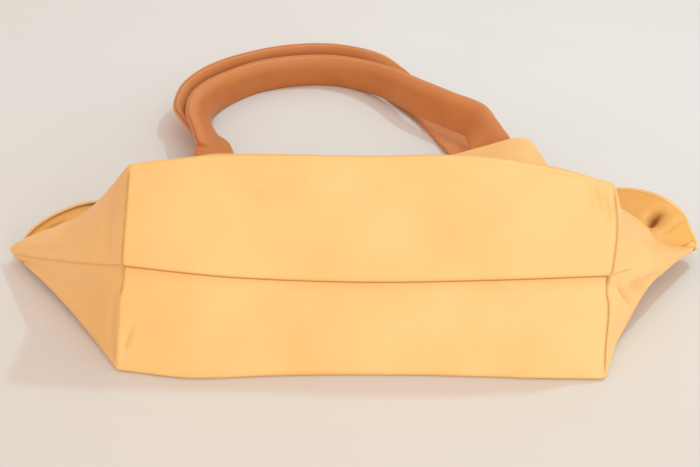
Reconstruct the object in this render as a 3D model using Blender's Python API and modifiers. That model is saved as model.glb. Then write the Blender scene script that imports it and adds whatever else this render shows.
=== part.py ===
"""Soft leather tote bag with a boxed base and two shoulder straps.

The bag lies on its front panel, as it does when it is put down empty: the base stands upright, the
mouth lies open at the far end, and both straps rest on the floor beyond it. Metres. X runs along the
base, +Y from the base to the mouth, +Z up. The origin is on the floor under the middle of the front panel.
"""

import math

import bmesh
import bpy
from mathutils import Vector
from mathutils.bvhtree import BVHTree

# Driving sizes
BASE_LENGTH = 0.325
BASE_HEIGHT = 0.139
BASE_LEAN = 0.043
MOUTH_HALF_WIDTH = 0.270
PANEL_REACH = 0.288
ORIGIN_SETBACK = 0.125

PANEL_THICKNESS = 0.0016
FACING_THICKNESS = 0.0012
LINING_THICKNESS = 0.0007
BOARD_THICKNESS = 0.0020
PIECE_GAP = 0.0003
SEAM_GAP = 0.0003

FACING_DEPTH = 0.045
FACING_SEAM_MARGIN = 0.015
LINING_FACING_GAP = 0.0020
BOARD_MARGIN = 0.012

STRAP_WIDTH = 0.035
STRAP_LAYER_THICKNESS = 0.0030
STRAP_FOOT_LENGTH = 0.036
STRAP_FOOT_CLEARANCE = 0.0008
STRAP_RIM_OVERHANG = 0.0050
STRAP_STRAIGHT = 0.008
STRAP_CLEARANCE = 0.0012
BACK_LOOP_REACH = 0.237
LOOP_REACH_STEP = 0.041
LOOP_HALF_WIDTH = 0.170
FOOT_HALF_SPACING = 0.130
FLOOR_CLEARANCE = 0.0002

STRAP_THICKNESS = 2 * STRAP_LAYER_THICKNESS + PIECE_GAP
FRONT_LOOP_REACH = BACK_LOOP_REACH + LOOP_REACH_STEP
FLOOR_FACE = PANEL_THICKNESS + SEAM_GAP / 2

# Places along the bag's girth, from one side seam (-1) to the other (1). The base's corners are at FOLD.
FOLD_SHARE = 0.8
COLUMN_SHARES = (-1.0, -0.9, -0.8, -0.65, -0.5, -0.25, 0.0, 0.25, 0.5, 0.65, 0.8, 0.9, 1.0)

# The mouth's rim, column by column: shares of MOUTH_HALF_WIDTH, PANEL_REACH and BASE_HEIGHT.
BACK_RIM_SHARES = (
    (-1.000, 0.452, 0.086), (-0.950, 0.480, 0.140), (-0.815, 0.497, 0.273), (-0.700, 0.700, 0.262),
    (-0.560, 0.965, 0.190), (-0.240, 0.992, 0.150), (0.000, 0.993, 0.143), (0.235, 0.986, 0.170),
    (0.500, 0.995, 0.300), (0.630, 0.880, 0.288), (0.763, 0.583, 0.300), (0.837, 0.472, 0.245),
    (0.981, 0.507, 0.115),
)
FRONT_RIM_SHARES = (
    (-1.000, 0.452, 0.086), (-1.002, 0.458, 0.062), (-0.990, 0.484, 0.072), (-0.880, 0.655, 0.130),
    (-0.640, 0.905, 0.012), (-0.300, 0.993, 0.012), (0.000, 1.000, 0.012), (0.300, 0.995, 0.012),
    (0.580, 0.950, 0.012), (0.835, 0.826, 0.130), (0.978, 0.660, 0.137), (0.996, 0.562, 0.108),
    (0.981, 0.507, 0.115),
)
# How steeply each column leaves the base and reaches the rim: shares of its whole fall.
BACK_FALL_SHARES = (
    (1.0, 1.0), (1.1, 0.9), (1.1, 0.8), (1.4, 0.5), (1.5, 0.35), (1.5, 0.3), (1.5, 0.3), (1.5, 0.3),
    (1.5, 0.1), (1.4, 0.3), (1.2, 0.7), (1.1, 0.9), (1.0, 1.0),
)
FRONT_FALL_SHARES = (
    (1.0, 1.0), (1.0, 0.9), (0.2, 1.2), (0.0, 2.0), (0.0, 1.0), (0.0, 1.0), (0.0, 1.0), (0.0, 1.0),
    (0.0, 1.0), (0.0, 2.2), (0.0, 2.0), (1.2, 0.8), (1.0, 1.0),
)

# The base's own outline, left, middle and right: shares of half BASE_LENGTH and of BASE_HEIGHT.
BASE_STATION_SHARES = (-1.0, -0.5, 0.0, 0.5, 1.0)
TOP_EDGE_SHARES = ((-0.930, 0.950), (-0.480, 1.000), (0.000, 1.000), (0.480, 0.985), (0.972, 0.906))
CENTRE_SEAM_SHARES = ((-0.975, 0.504), (-0.490, 0.452), (0.000, 0.440), (0.490, 0.460), (0.997, 0.493))

# The straps' loops, from the left foot to the right one. Each row: place across as a share of
# LOOP_HALF_WIDTH, place beyond the feet as a share of the loop's reach, roll of the strap's width in
# degrees, and lift off the floor as a share of STRAP_WIDTH. At a roll of 90 the strap stands on its edge,
# above 90 it leans outward, and at 180 it lies flat with the loop's inner face up.
BACK_LOOP_SHARES = (
    (-0.826, 0.089, 155.0, 0.29), (-0.868, 0.190, 142.0, 0.30), (-0.906, 0.291, 132.0, 0.27),
    (-0.938, 0.392, 121.0, 0.20), (-0.947, 0.494, 107.0, 0.11), (-0.918, 0.603, 95.0, 0.05),
    (-0.818, 0.713, 87.0, 0.01), (-0.624, 0.852, 80.0, 0.00), (-0.388, 0.937, 76.0, 0.00),
    (-0.188, 0.949, 76.0, 0.00), (-0.012, 0.886, 80.0, 0.03), (0.159, 0.747, 88.0, 0.15),
    (0.329, 0.561, 98.0, 0.33), (0.506, 0.405, 106.0, 0.38), (0.647, 0.291, 114.0, 0.40),
    (0.706, 0.186, 132.0, 0.46), (0.715, 0.089, 158.0, 0.62),
)
FRONT_LOOP_SHARES = (
    (-0.821, 0.070, 168.0, 0.00), (-0.885, 0.156, 155.0, 0.00), (-0.953, 0.239, 141.0, 0.00),
    (-1.018, 0.318, 126.0, 0.00), (-1.065, 0.401, 112.0, 0.00), (-1.082, 0.487, 98.0, 0.00),
    (-1.041, 0.588, 90.0, 0.00), (-0.929, 0.703, 84.0, 0.00), (-0.753, 0.811, 80.0, 0.00),
    (-0.500, 0.908, 78.0, 0.00), (-0.224, 0.941, 78.0, 0.00), (0.035, 0.887, 84.0, 0.00),
    (0.229, 0.768, 108.0, 0.00), (0.347, 0.631, 140.0, 0.00), (0.435, 0.480, 168.0, 0.00),
    (0.524, 0.293, 178.0, 0.00), (0.600, 0.113, 180.0, 0.02),
)
FRONT_FEET_SHARES = (-1.035, 0.846)
BACK_FEET_SHARES = (-1.055, 0.930)

# Mesh fineness
MIDDLE_COLUMNS = 20
GUSSET_ROW_SHARES = (0.13, 0.38, 0.68, 1.0)
LINING_ROW_SHARES = (0.0, 0.04, 0.09, 0.17, 0.27, 0.40, 0.54, 0.70, 0.86, 1.0)
FACING_ROW_SHARES = (0.0, 0.5, 1.0)
LOOP_STEPS = 60
FOOT_STEPS = 8
ACROSS_SHARES = (-1.0, -0.75, -0.5, -0.25, 0.0, 0.25, 0.5, 0.75, 1.0)
EDGE_SOFTENING_ROUNDS = 3
EDGE_SOFTENING_SHARE = 0.5
AXIS_ROUNDS = 4
HALVING_ROUNDS = 12
STEEPEST_FACING_SHARE = 0.25

YELLOW_LEATHER = (0.93, 0.60, 0.23, 1.0)
FACING_LEATHER = (0.88, 0.48, 0.15, 1.0)
LINING_CLOTH = (0.62, 0.48, 0.34, 1.0)
BOARD_GREY = (0.35, 0.31, 0.27, 1.0)
TAN_LEATHER = (0.55, 0.23, 0.08, 1.0)


def clear_scene():
    """Remove every object that the scene holds."""
    for item in list(bpy.data.objects):
        bpy.data.objects.remove(item, do_unlink=True)


def make_material(name, colour, roughness):
    """Return a plain shader material of one colour."""
    material = bpy.data.materials.new(name)
    material.use_nodes = True
    shader = material.node_tree.nodes["Principled BSDF"]
    shader.inputs["Base Color"].default_value = colour
    shader.inputs["Roughness"].default_value = roughness
    shader.inputs["Metallic"].default_value = 0.0
    material.diffuse_color = colour
    return material


def hermite(start, end, leaving, arriving, share):
    """Point at share on the curve from start to end with the given directions at its ends."""
    square = share * share
    cube = square * share
    return (
        start * (2 * cube - 3 * square + 1)
        + leaving * (cube - 2 * square + share)
        + end * (3 * square - 2 * cube)
        + arriving * (cube - square)
    )


def curve_slope(places, values, index):
    """Slope, at one of its places, of the smooth curve through values."""
    first = max(index - 1, 0)
    last = min(index + 1, len(places) - 1)
    if index in (first, last):
        return (values[last] - values[first]) / (places[last] - places[first])
    before = places[index] - places[first]
    after = places[last] - places[index]
    slope_before = (values[index] - values[first]) / before
    slope_after = (values[last] - values[index]) / after
    return (slope_before * after + slope_after * before) / (before + after)


def smooth_lookup(places, values, place):
    """Value at place on the smooth curve through values, which stand at increasing places."""
    index = 0
    while index < len(places) - 2 and place > places[index + 1]:
        index += 1
    step = places[index + 1] - places[index]
    leaving = curve_slope(places, values, index) * step
    arriving = curve_slope(places, values, index + 1) * step
    return hermite(values[index], values[index + 1], leaving, arriving, (place - places[index]) / step)


def on_base(across, height):
    """Point of the base's leaning plane at a place across and a height."""
    return Vector((across, BASE_LEAN * height / BASE_HEIGHT, height))


def base_edge(shares, across):
    """Point of the base's outline or seam at across, from -1 at the left corner to 1 at the right one."""
    place = smooth_lookup(BASE_STATION_SHARES, [Vector(row) for row in shares], across)
    return on_base(place.x * BASE_LENGTH / 2, place.y * BASE_HEIGHT)


def outer_edge(side, across):
    """Point of the bend between the base and a panel: on the floor for the front one."""
    if side == "front":
        return on_base(across * BASE_LENGTH / 2, FLOOR_FACE)
    return base_edge(TOP_EDGE_SHARES, across)


def base_start(side, girth):
    """Point where a panel leaves the base, at a place on the girth."""
    if abs(girth) <= FOLD_SHARE:
        return outer_edge(side, girth / FOLD_SHARE)
    corner = math.copysign(1.0, girth)
    down = (abs(girth) - FOLD_SHARE) / (1.0 - FOLD_SHARE)
    return outer_edge(side, corner).lerp(base_edge(CENTRE_SEAM_SHARES, corner), down)


def rim_point(side, girth):
    """Point of the mouth's rim at a place on the girth."""
    shares = FRONT_RIM_SHARES if side == "front" else BACK_RIM_SHARES
    place = smooth_lookup(COLUMN_SHARES, [Vector(row) for row in shares], girth)
    height = max(place.z * BASE_HEIGHT, FLOOR_FACE)
    return Vector((place.x * MOUTH_HALF_WIDTH, place.y * PANEL_REACH, height))


def panel_point(side, girth, along):
    """Point of a panel's inner face: along runs from 0 at the base to 1 at the mouth's rim."""
    falls = FRONT_FALL_SHARES if side == "front" else BACK_FALL_SHARES
    leave, arrive = smooth_lookup(COLUMN_SHARES, [Vector(row) for row in falls], girth)
    start = base_start(side, girth)
    end = rim_point(side, girth)
    run = end - start
    leaving = Vector((run.x, run.y, run.z * leave))
    arriving = Vector((run.x, run.y, run.z * arrive))
    point = hermite(start, end, leaving, arriving, along)
    point.z = max(point.z, FLOOR_FACE)
    return point


def girth_shares():
    """Places on the girth: side seam, gusset, base corner, middle, and back to the other seam."""
    gusset = [FOLD_SHARE + (1.0 - FOLD_SHARE) * share for share in GUSSET_ROW_SHARES]
    middle = [FOLD_SHARE * (2 * column / MIDDLE_COLUMNS - 1) for column in range(MIDDLE_COLUMNS + 1)]
    return [-place for place in reversed(gusset)] + middle + gusset


def add_faces(mesh, rows, flip):
    """Fill the space between neighbouring rows of points, every square split along the same diagonal."""
    for low, high in zip(rows, rows[1:]):
        for index in range(len(low) - 1):
            first = (low[index], low[index + 1], high[index + 1])
            second = (low[index], high[index + 1], high[index])
            for corners in (first, second):
                mesh.faces.new(reversed(corners) if flip else corners)


def soften_bend(rows, first, last):
    """Round the bend between the base and the back panel by drawing its points inward."""
    soft_verts = rows[0][first + 1:last] + rows[1][first + 1:last]
    for _ in range(EDGE_SOFTENING_ROUNDS):
        moved = {}
        for vert in soft_verts:
            ring = [edge.other_vert(vert).co for edge in vert.link_edges]
            moved[vert] = vert.co.lerp(sum(ring, Vector()) / len(ring), EDGE_SOFTENING_SHARE)
        for vert, place in moved.items():
            vert.co = place


def tray_mesh(side, row_shares):
    """Open surface of one panel with its half of the base, its corner seams closed."""
    mesh = bmesh.new()
    girths = girth_shares()
    rows = [[mesh.verts.new(panel_point(side, girth, along)) for girth in girths] for along in row_shares]
    gusset_rows = len(GUSSET_ROW_SHARES)
    first = gusset_rows
    last = gusset_rows + MIDDLE_COLUMNS
    base_rows = [rows[0][first:last + 1]]
    for down, share in enumerate(GUSSET_ROW_SHARES, start=1):
        row = [rows[0][first - down]]
        for column in range(1, MIDDLE_COLUMNS):
            across = 2 * column / MIDDLE_COLUMNS - 1
            seam = base_edge(CENTRE_SEAM_SHARES, across)
            row.append(mesh.verts.new(outer_edge(side, across).lerp(seam, share)))
        row.append(rows[0][last + down])
        base_rows.append(row)
    add_faces(mesh, rows, side == "front")
    add_faces(mesh, base_rows, side != "front")
    if side == "back":
        soften_bend(rows, first, last)
    return mesh


def facing_end(side, corner):
    """Place on the girth where a facing stops, short of the side seam."""
    seam = rim_point(side, corner)
    near, far = FOLD_SHARE, 1.0
    for _ in range(HALVING_ROUNDS):
        middle = (near + far) / 2
        if (rim_point(side, corner * middle) - seam).length > FACING_SEAM_MARGIN:
            near = middle
        else:
            far = middle
    return near


def strip_mesh(side, row_shares):
    """Open surface of a band that follows a panel along its rim, short of the side seams."""
    first, last = -facing_end(side, -1.0), facing_end(side, 1.0)
    columns = girth_shares()
    inner = [girth for girth in columns if first < girth < last]
    before = columns[columns.index(inner[0]) - 1]
    after = columns[columns.index(inner[-1]) + 1]
    mesh = bmesh.new()
    rows = []
    for along in row_shares:
        points = [panel_point(side, girth, along) for girth in inner]
        left_share = (first - inner[0]) / (before - inner[0])
        right_share = (last - inner[-1]) / (after - inner[-1])
        left_end = points[0].lerp(panel_point(side, before, along), left_share)
        right_end = points[-1].lerp(panel_point(side, after, along), right_share)
        rows.append([mesh.verts.new(point) for point in (left_end, *points, right_end)])
    add_faces(mesh, rows, side == "front")
    return mesh


def inset_bag(meshes, depth):
    """Move the front and back surfaces inward together, so that they still meet at their seams."""
    def place_key(vert):
        return tuple(round(value / PIECE_GAP) for value in vert.co)

    joined = {}
    for mesh in meshes:
        mesh.normal_update()
        for vert in mesh.verts:
            joined.setdefault(place_key(vert), []).extend(face.normal.copy() for face in vert.link_faces)
    for mesh in meshes:
        for vert in mesh.verts:
            normals = joined[place_key(vert)]
            mean = sum(normals, Vector()).normalized()
            facing = max(min(mean.dot(normal) for normal in normals), STEEPEST_FACING_SHARE)
            vert.co -= mean * (depth / facing)


def add_object(name, mesh, material, collection, origin=Vector()):
    """Turn a bmesh, built from the base's lower edge, into an object in the part's own frame."""
    bmesh.ops.translate(mesh, verts=mesh.verts, vec=Vector((0.0, -ORIGIN_SETBACK, 0.0)) - origin)
    data = bpy.data.meshes.new(name)
    mesh.to_mesh(data)
    mesh.free()
    data.materials.append(material)
    item = bpy.data.objects.new(name, data)
    item.location = origin
    collection.objects.link(item)
    return item


def thicken(item, thickness):
    """Give an open surface its thickness on the outer side."""
    for polygon in item.data.polygons:
        polygon.use_smooth = True
    shell = item.modifiers.new("thickness", "SOLIDIFY")
    shell.thickness = thickness
    shell.offset = 1.0
    shell.use_even_offset = True
    shell.use_quality_normals = True


def part_seam(mesh, side):
    """Set a piece back from the seam between front and back by half the seam gap."""
    shift = -SEAM_GAP / 2 if side == "front" else SEAM_GAP / 2
    bmesh.ops.translate(mesh, verts=mesh.verts, vec=(0.0, 0.0, shift))


def make_panels(materials, collection):
    """Outer panels, each with its half of the base."""
    lining_end = 1.0 - FACING_DEPTH / PANEL_REACH
    facing_run = FACING_DEPTH / PANEL_REACH
    shares = [share * lining_end for share in LINING_ROW_SHARES]
    shares += [lining_end + share * facing_run for share in FACING_ROW_SHARES[1:]]
    for side in ("front", "back"):
        mesh = tray_mesh(side, shares)
        part_seam(mesh, side)
        thicken(add_object(side + "_panel", mesh, materials["yellow"], collection), PANEL_THICKNESS)


def make_linings(materials, collection):
    """Cloth linings inside the panels, from the base to the facings."""
    lining_end = 1.0 - FACING_DEPTH / PANEL_REACH
    linings = {}
    for side in ("front", "back"):
        linings[side] = tray_mesh(side, [share * lining_end for share in LINING_ROW_SHARES])
    inset_bag(list(linings.values()), PIECE_GAP + LINING_THICKNESS)
    for side, mesh in linings.items():
        part_seam(mesh, side)
        thicken(add_object(side + "_lining", mesh, materials["cloth"], collection), LINING_THICKNESS)


def make_facings(materials, collection):
    """Leather bands inside the rim. Returns their inner surfaces for the strap feet to lie on."""
    facing_run = (FACING_DEPTH - LINING_FACING_GAP) / PANEL_REACH
    facings = {}
    for side in ("front", "back"):
        facings[side] = strip_mesh(side, [1.0 - facing_run * (1.0 - share) for share in FACING_ROW_SHARES])
    inset_bag(list(facings.values()), PIECE_GAP + FACING_THICKNESS)
    surfaces = {}
    for side, mesh in facings.items():
        part_seam(mesh, side)
        surfaces[side] = BVHTree.FromBMesh(mesh)
        thicken(add_object(side + "_facing", mesh, materials["facing"], collection), FACING_THICKNESS)
    return surfaces


def make_board(materials, collection):
    """Stiff board inside the lining, on the base."""
    narrowest_share = min(abs(TOP_EDGE_SHARES[0][0]), abs(TOP_EDGE_SHARES[-1][0]))
    lowest_share = min(TOP_EDGE_SHARES[0][1], TOP_EDGE_SHARES[-1][1])
    half_length = narrowest_share * BASE_LENGTH / 2 - BOARD_MARGIN
    heights = (FLOOR_FACE + BOARD_MARGIN, lowest_share * BASE_HEIGHT - BOARD_MARGIN)
    inward = Vector((0.0, BASE_HEIGHT, -BASE_LEAN)).normalized()
    near = LINING_THICKNESS + 2 * PIECE_GAP + SEAM_GAP / 2
    mesh = bmesh.new()
    rings = []
    for depth in (near, near + BOARD_THICKNESS):
        corners = (
            (-half_length, heights[0]), (half_length, heights[0]),
            (half_length, heights[1]), (-half_length, heights[1]),
        )
        rings.append([mesh.verts.new(on_base(*corner) + inward * depth) for corner in corners])
    close_rings(mesh, rings)
    add_object("base_board", mesh, materials["board"], collection)


def close_rings(mesh, rings):
    """Join a row of rings with faces and close both ends."""
    for near, far in zip(rings, rings[1:]):
        count = len(near)
        for index in range(count):
            after = (index + 1) % count
            corners = (near[index], near[after], far[after], far[index])
            if index > 1:
                corners = (near[after], near[index], far[index], far[after])
            mesh.faces.new((corners[0], corners[1], corners[2]))
            mesh.faces.new((corners[0], corners[2], corners[3]))
    mesh.faces.new(rings[0])
    mesh.faces.new(rings[-1])
    bmesh.ops.recalc_face_normals(mesh, faces=mesh.faces)


def layer_mesh(stations, offset):
    """Closed strip of one leather layer along stations, its middle at offset from the strap's middle."""
    mesh = bmesh.new()
    rings = []
    for centre, width, normal in stations:
        middle = centre + normal * offset
        half_width = width * (STRAP_WIDTH / 2)
        half_layer = normal * (STRAP_LAYER_THICKNESS / 2)
        places = (
            middle - half_width - half_layer, middle + half_width - half_layer,
            middle + half_width + half_layer, middle - half_width + half_layer,
        )
        rings.append([mesh.verts.new(place) for place in places])
    close_rings(mesh, rings)
    return mesh


def add_layers(name, stations, material, collection, origin=Vector()):
    """Add the two leather layers of a strap or of one of its feet."""
    offset = (STRAP_LAYER_THICKNESS + PIECE_GAP) / 2
    for layer, side in (("outer", 1), ("inner", -1)):
        add_object(name + "_" + layer, layer_mesh(stations, side * offset), material, collection, origin)


def surface_height(surface, side, place, slope, along):
    """Height of the strap's line at the middle of a foot so that its whole width clears the facing."""
    heights = []
    for share in ACROSS_SHARES:
        across = share * STRAP_WIDTH / 2
        above = Vector((place + across, along, BASE_HEIGHT))
        hit = surface.ray_cast(above, Vector((0.0, 0.0, -1.0)))[0]
        if hit is not None:
            heights.append(hit.z - slope * across)
    if not heights:
        return None
    return max(heights) + STRAP_FOOT_CLEARANCE if side == "front" else min(heights) - STRAP_FOOT_CLEARANCE


def foot_heights(surface, side, place, slope, exit_along):
    """Places along a foot, from inside the bag to its exit, with the height of the strap's middle."""
    to_middle = STRAP_THICKNESS / 2 if side == "front" else -STRAP_THICKNESS / 2
    start = PANEL_REACH - STRAP_FOOT_LENGTH
    steps = range(FOOT_STEPS + 1)
    alongs = [start + (exit_along - start) * step / FOOT_STEPS for step in steps]
    heights = [surface_height(surface, side, place, slope, along) for along in alongs]
    furthest = max if side == "front" else min
    rows = []
    for step in steps:
        nearby = [height for height in heights[max(step - 1, 0):step + 2] if height is not None]
        height = furthest(nearby) if nearby else rows[-1][1] - to_middle
        rows.append((alongs[step], height + to_middle))
    return rows


def strap_feet(surface, side, places, exit_along):
    """Heights along both feet, with the slope of the line that joins their exits."""
    slope = 0.0
    for _ in range(AXIS_ROUNDS):
        feet = [foot_heights(surface, side, place, slope, exit_along) for place in places]
        slope = (feet[1][-1][1] - feet[0][-1][1]) / (places[1] - places[0])
    return feet, slope


def lowest_middle(roll):
    """Height of the strap's middle when it rests on the floor at a roll."""
    half_width = abs(math.sin(roll)) * STRAP_WIDTH / 2
    half_thickness = abs(math.cos(roll)) * STRAP_THICKNESS / 2
    return half_width + half_thickness + FLOOR_CLEARANCE


def loop_stations(rows, reach, places, exits, exit_along, slope):
    """Stations of a strap's free loop: middle, direction across the width and normal."""
    start_along = exit_along + PIECE_GAP
    tilt = math.atan(slope)
    points = []
    for place, height, roll in ((places[0], exits[0], math.pi + tilt), (places[1], exits[1], math.pi - tilt)):
        points.append(Vector((place, start_along, height, roll)))
        points.append(Vector((place, start_along + STRAP_STRAIGHT, height, roll)))
    controls = points[:2]
    for x_share, y_share, roll_degrees, lift_share in rows:
        roll = math.radians(roll_degrees)
        height = lowest_middle(roll) + lift_share * STRAP_WIDTH
        controls.append(Vector((x_share * LOOP_HALF_WIDTH, exit_along + y_share * reach, height, roll)))
    controls += [points[3], points[2]]
    lengths = [0.0]
    for before, after in zip(controls, controls[1:]):
        lengths.append(lengths[-1] + (after.xyz - before.xyz).length)
    samples = []
    for step in range(LOOP_STEPS + 1):
        sample = smooth_lookup(lengths, controls, lengths[-1] * step / LOOP_STEPS)
        sample.z = max(sample.z, lowest_middle(sample.w))
        samples.append(sample)
    stations = []
    for index, sample in enumerate(samples):
        if index == 0:
            tangent = Vector((0.0, 1.0, 0.0))
        elif index == LOOP_STEPS:
            tangent = Vector((0.0, -1.0, 0.0))
        else:
            tangent = (samples[index + 1].xyz - samples[index - 1].xyz).normalized()
        across = tangent.cross(Vector((0.0, 0.0, 1.0))).normalized()
        up = across.cross(tangent).normalized()
        width = across * math.cos(sample.w) + up * math.sin(sample.w)
        stations.append((sample.xyz, width, width.cross(tangent).normalized()))
    return stations


def make_strap(side, surface, material, collection, exit_along):
    """One strap: its two feet inside the rim and the free loop between them, in two layers."""
    feet_shares = FRONT_FEET_SHARES if side == "front" else BACK_FEET_SHARES
    rows = FRONT_LOOP_SHARES if side == "front" else BACK_LOOP_SHARES
    reach = FRONT_LOOP_REACH if side == "front" else BACK_LOOP_REACH
    places = [share * FOOT_HALF_SPACING for share in feet_shares]
    feet, slope = strap_feet(surface, side, places, exit_along)
    width = Vector((-1.0, 0.0, -slope)).normalized()
    for name, place, heights in zip(("left", "right"), places, feet):
        normal = width.cross(Vector((0.0, 1.0, 0.0)))
        stations = [(Vector((place, along, height)), width, normal) for along, height in heights]
        add_layers(side + "_" + name + "_foot", stations, material, collection)
    exits = [heights[-1][1] for heights in feet]
    top = (exits[0] + exits[1]) / 2 + STRAP_THICKNESS / 2
    middle = (places[0] + places[1]) / 2
    axis_point = Vector((middle, exit_along + PIECE_GAP - ORIGIN_SETBACK, top))
    stations = loop_stations(rows, reach, places, exits, exit_along, slope)
    add_layers(side + "_strap", stations, material, collection, axis_point)


def main():
    clear_scene()
    collection = bpy.data.collections.new("soft_leather_tote_bag")
    bpy.context.scene.collection.children.link(collection)
    materials = {
        "yellow": make_material("yellow_leather", YELLOW_LEATHER, 0.45),
        "facing": make_material("facing_leather", FACING_LEATHER, 0.55),
        "cloth": make_material("lining_cloth", LINING_CLOTH, 0.85),
        "board": make_material("base_board", BOARD_GREY, 0.7),
        "tan": make_material("tan_leather", TAN_LEATHER, 0.5),
    }
    make_panels(materials, collection)
    make_linings(materials, collection)
    surfaces = make_facings(materials, collection)
    make_board(materials, collection)
    back_exit = PANEL_REACH + STRAP_RIM_OVERHANG
    front_exit = back_exit + STRAP_THICKNESS + STRAP_CLEARANCE
    make_strap("back", surfaces["back"], materials["tan"], collection, back_exit)
    make_strap("front", surfaces["front"], materials["tan"], collection, front_exit)


main()
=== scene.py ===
"""A soft yellow leather tote bag with tan straps, lying on its front panel on a pale floor.

Metres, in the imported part's own frame: X along the base, +Y from the base to the mouth, +Z up.
"""
import math

import bpy
import numpy as np
from mathutils import Matrix, Vector, noise
from mathutils.bvhtree import BVHTree
from mathutils.kdtree import KDTree


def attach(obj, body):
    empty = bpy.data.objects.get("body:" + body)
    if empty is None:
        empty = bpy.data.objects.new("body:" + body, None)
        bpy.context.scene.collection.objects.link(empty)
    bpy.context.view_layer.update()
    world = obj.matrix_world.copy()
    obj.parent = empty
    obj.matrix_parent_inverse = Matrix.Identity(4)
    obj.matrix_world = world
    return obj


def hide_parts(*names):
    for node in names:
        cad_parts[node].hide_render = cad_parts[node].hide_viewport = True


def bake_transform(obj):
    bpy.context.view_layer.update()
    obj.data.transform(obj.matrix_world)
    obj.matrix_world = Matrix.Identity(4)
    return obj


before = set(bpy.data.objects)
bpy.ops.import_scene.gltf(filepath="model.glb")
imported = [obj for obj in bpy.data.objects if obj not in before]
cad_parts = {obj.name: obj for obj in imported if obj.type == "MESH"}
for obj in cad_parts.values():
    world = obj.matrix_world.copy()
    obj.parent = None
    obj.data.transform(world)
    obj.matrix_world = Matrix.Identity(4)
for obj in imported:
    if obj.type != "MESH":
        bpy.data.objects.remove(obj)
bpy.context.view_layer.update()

# Real sizes. They are the part's, but for a deeper front facing and a shorter STRAP_STRAIGHT. EXIT_TWIST, in
# radians, is only here.
BASE_LENGTH = 0.325
BASE_HEIGHT = 0.139
BASE_LEAN = 0.043
MOUTH_HALF_WIDTH = 0.270
PANEL_REACH = 0.288
ORIGIN_SETBACK = 0.125
PANEL_THICKNESS = 0.0016
FLOOR_FACE = 0.00175
FACING_DEPTH = {"front": 0.054, "back": 0.045}
STRAP_WIDTH = 0.035
STRAP_THICKNESS = 0.0063
FLOOR_CLEARANCE = 0.0002
LOOP_HALF_WIDTH = 0.170
STRAP_STRAIGHT = 0.007
EXIT_TWIST = {"back": 0.60, "front": 0.10}

FOLD_SHARE = 0.8
# x * x * (1 - x) times this peaks at one.
BOW_SCALE = 6.75
BOW_FADE = 0.05
# Columns of each panel from side seam to side seam: girth, the rim's place, and the fall at both ends.
COLUMNS = {
    "back": (
        (-1.00, -1.008, 0.450, 0.062, 1.15, 0.86), (-0.97, -1.012, 0.455, 0.092, 1.0, 1.0),
        (-0.94, -0.985, 0.470, 0.118, 1.05, 0.95), (-0.90, -0.945, 0.480, 0.148, 1.1, 0.9),
        (-0.85, -0.885, 0.488, 0.190, 1.1, 0.85),
        (-0.80, -0.815, 0.497, 0.246, 1.1, 0.8), (-0.65, -0.700, 0.700, 0.255, 1.4, 0.5),
        (-0.50, -0.560, 0.965, 0.165, 1.5, 0.35), (-0.25, -0.240, 0.992, 0.135, 1.5, 0.3),
        (0.00, 0.000, 0.993, 0.130, 1.5, 0.3), (0.25, 0.245, 0.986, 0.165, 1.5, 0.3),
        (0.42, 0.420, 0.992, 0.265, 1.5, 0.15), (0.49, 0.522, 0.995, 0.318, 1.5, 0.1),
        (0.52, 0.556, 0.994, 0.308, 1.5, 0.1), (0.57, 0.602, 0.980, 0.210, 1.5, 0.1),
        (0.62, 0.648, 0.940, 0.085, 1.4, 0.3),
        (0.70, 0.695, 0.760, 0.120, 1.3, 0.6), (0.80, 0.762, 0.545, 0.306, 1.2, 0.7),
        (0.85, 0.806, 0.482, 0.286, 1.2, 0.8), (0.90, 0.850, 0.472, 0.194, 1.1, 0.9),
        (0.95, 0.912, 0.484, 0.148, 1.05, 0.95), (1.00, 0.978, 0.507, 0.118, 1.0, 1.0),
    ),
    "front": (
        (-1.00, -1.008, 0.450, 0.062, 1.15, 0.86), (-0.96, -0.998, 0.450, 0.040, 1.0, 1.0),
        (-0.90, -0.996, 0.460, 0.042, 1.0, 0.9), (-0.80, -0.996, 0.480, 0.070, 0.6, 1.2),
        (-0.77, -0.970, 0.530, 0.112, 0.4, 1.4),
        (-0.74, -0.930, 0.565, 0.150, 0.2, 1.6), (-0.70, -0.870, 0.615, 0.172, 0.0, 2.0),
        (-0.62, -0.770, 0.750, 0.078, 0.0, 2.0), (-0.50, -0.640, 0.905, 0.012, 0.0, 1.0),
        (-0.25, -0.300, 0.993, 0.012, 0.0, 1.0), (0.00, 0.000, 1.000, 0.012, 0.0, 1.0),
        (0.25, 0.300, 0.995, 0.012, 0.0, 1.0), (0.50, 0.580, 0.950, 0.012, 0.0, 1.0),
        (0.60, 0.740, 0.860, 0.110, 0.0, 2.0), (0.68, 0.865, 0.720, 0.255, 0.0, 2.2),
        (0.73, 0.925, 0.650, 0.270, 0.0, 2.0), (0.77, 0.962, 0.605, 0.230, 0.2, 1.6),
        (0.80, 0.982, 0.570, 0.170, 0.4, 1.3), (0.90, 0.992, 0.530, 0.112, 1.0, 1.0),
        (1.00, 0.978, 0.507, 0.118, 1.0, 1.0),
    ),
}
# Sideways bows of a side's columns: girth, width in girth, shift at the fullest place.
BOWS = {
    "back": (),
    "front": ((0.80, 0.10, (-0.013, 0.0, 0.0)),),
}
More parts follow.
